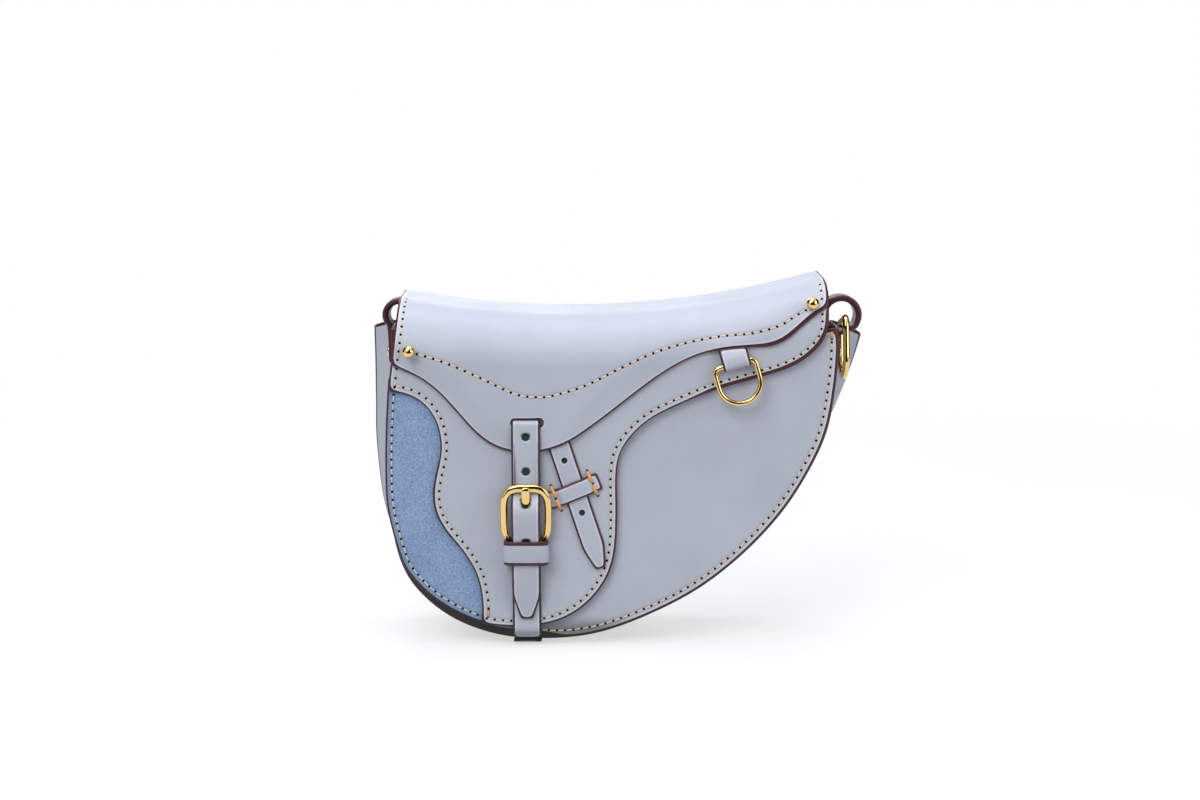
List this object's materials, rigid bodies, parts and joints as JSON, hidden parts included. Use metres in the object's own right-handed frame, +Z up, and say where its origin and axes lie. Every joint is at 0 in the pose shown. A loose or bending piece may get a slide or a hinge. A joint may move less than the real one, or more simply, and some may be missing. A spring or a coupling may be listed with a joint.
{
  "type": "saddle handbag",
  "caption": "Small saddle-shaped shoulder bag in smooth leather with a rounded flap, shaped yoke, suede inset, buckled front strap and metal carrying rings.",
  "frame": {"origin": "Centre of the bounding box's footprint, on the plane that the bag's base stands on.", "axes": "+X to the bag's right as seen from its front (towards its high end), -Y is the front with the buckle, +Z is up."},
  "size_m": [0.2679, 0.0728, 0.1953],
  "materials": {
    "leather": "smooth vegetable-tanned calf, pale blue-grey, burgundy painted edges, satin",
    "edge_leather": "dark burgundy painted leather strip, satin",
    "suede": "mid blue suede with a short nap, matt",
    "brass": "polished pale gold",
    "thread": "thick waxed thread, orange"
  },
  "bodies": {
    "bag": {"back_panel": "leather", "front_panel": "leather", "gusset": "leather", "side_tab_left": "edge_leather", "side_tab_right": "edge_leather", "side_rivet_left": "brass", "side_rivet_right": "brass", "strap_foot": "leather"},
    "flap": {"flap_skirt": "leather", "suede_panel": "suede", "yoke": "leather", "stud_left": "brass", "stud_right": "brass", "stud_screw_left": "brass", "stud_screw_right": "brass", "billet_strap": "leather", "lower_strap": "leather", "slant_strap": "leather", "slant_band": "leather", "slant_stitches": "thread", "ring_tab": "leather"},
    "buckle": {"buckle_frame": "brass"},
    "prong": {"buckle_prong": "brass"},
    "keeper": {"keeper_loop": "leather"},
    "front_ring": {"front_ring": "brass"},
    "left_ring": {"side_ring_left": "brass"},
    "right_ring": {"side_ring_right": "brass"}
  },
  "joints": [
    {"name": "flap_hinge", "type": "hinge", "parent": "bag", "child": "flap", "pos_m": [0, 0.0362, 0.183], "axis": [-1, 0, 0], "range_deg": [0, 110]},
    {"name": "buckle_pivot", "type": "hinge", "parent": "flap", "child": "buckle", "pos_m": [-0.048, -0.0299, 0.0594], "axis": [1, 0, 0], "range_deg": [0, 2]},
    {"name": "prong_pivot", "type": "hinge", "parent": "flap", "child": "prong", "pos_m": [-0.048, -0.0299, 0.0594], "axis": [1, 0, 0], "range_deg": [0, 2]},
    {"name": "keeper_slide", "type": "slide", "parent": "flap", "child": "keeper", "axis": [0, 0, -1], "range_m": [0, 0.012]},
    {"name": "front_ring_swing", "type": "hinge", "parent": "flap", "child": "front_ring", "pos_m": [0.0596, -0.0285, 0.1516], "axis": [-0.9613, 0, -0.2756], "range_deg": [0, 95]},
    {"name": "left_ring_swing", "type": "hinge", "parent": "bag", "child": "left_ring", "pos_m": [-0.11515, 0.0072, 0.1707], "axis": [0, -1, 0], "range_deg": [0, 60]},
    {"name": "right_ring_swing", "type": "hinge", "parent": "bag", "child": "right_ring", "pos_m": [0.12025, 0.0072, 0.17112], "axis": [0, -0.9703, 0.2419], "range_deg": [0, 100]}
  ],
  "couplings": [
    {"joint": "prong_pivot", "follows": "buckle_pivot", "ratio": 1}
  ]
}
